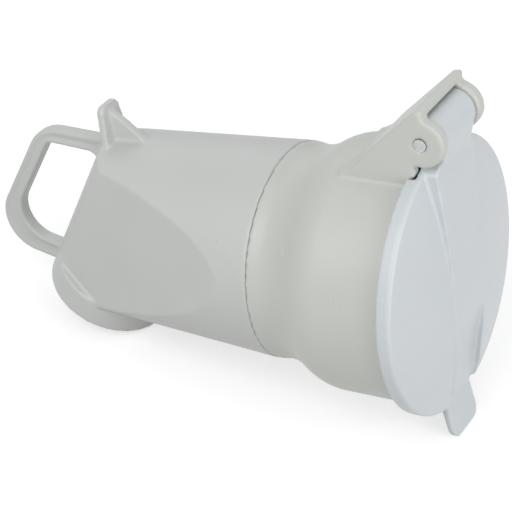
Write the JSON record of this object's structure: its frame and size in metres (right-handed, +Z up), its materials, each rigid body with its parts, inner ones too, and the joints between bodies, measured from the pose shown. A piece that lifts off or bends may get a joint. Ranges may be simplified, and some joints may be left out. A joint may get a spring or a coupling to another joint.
{
  "type": "inline socket connector",
  "caption": "Inline round socket connector with a sprung hinged lid, a slanted cable outlet and a carrying loop.",
  "frame": {"origin": "centre of the bounding box's underside, on the table that the connector lies on", "axes": "+X forward to the lid, +Y to the left, +Z up; the socket's axis rises forward from +X by about 9 degrees"},
  "size_m": [0.1798, 0.09, 0.1206],
  "materials": {
    "front_shell": "fine satin moulding, pale yellow-grey",
    "rear_shell": "fine satin moulding, pale grey",
    "lid_shell": "fine satin moulding, pale blue-grey",
    "insert_plastic": "dark thermoset",
    "retainer_plastic": "dark moulding",
    "gland_plastic": "mid grey moulding",
    "clamp_plastic": "grey moulding",
    "seal_rubber": "smooth black",
    "gasket_rubber": "smooth dark grey",
    "grommet_rubber": "smooth black",
    "contact_brass": "turned",
    "spring_steel": "drawn spring steel",
    "screw_steel": "zinc plated",
    "washer_steel": "stamped",
    "pin_steel": "ground"
  },
  "bodies": {
    "housing": {"front_housing": "front_shell", "rear_housing": "rear_shell", "contact_carrier": "insert_plastic", "carrier_ring": "retainer_plastic", "contact_retainer": "retainer_plastic", "housing_seal": "seal_rubber", "earth_contact": "contact_brass", "neutral_contact": "contact_brass", "line_1_contact": "contact_brass", "line_2_contact": "contact_brass", "line_3_contact": "contact_brass", "sleeve_rings": "spring_steel", "terminal_screws": "screw_steel", "carrier_screws": "screw_steel", "retainer_screw": "screw_steel", "housing_screws": "screw_steel", "gland_nut": "gland_plastic", "gland_washer": "washer_steel", "cable_grommet": "grommet_rubber", "cable_clamp": "clamp_plastic", "clamp_screws": "screw_steel", "hinge_pin": "pin_steel"},
    "lid": {"lid": "lid_shell", "lid_gasket": "gasket_rubber", "lid_spring": "spring_steel"}
  },
  "joints": [
    {"name": "lid_hinge", "type": "hinge", "parent": "housing", "child": "lid", "pos_m": [0.07208, 0, 0.1097], "axis": [0, -1, 0], "range_deg": [0, 110], "stiffness_Nm_per_rad": 0.08, "springref_deg": -114.59}
  ]
}
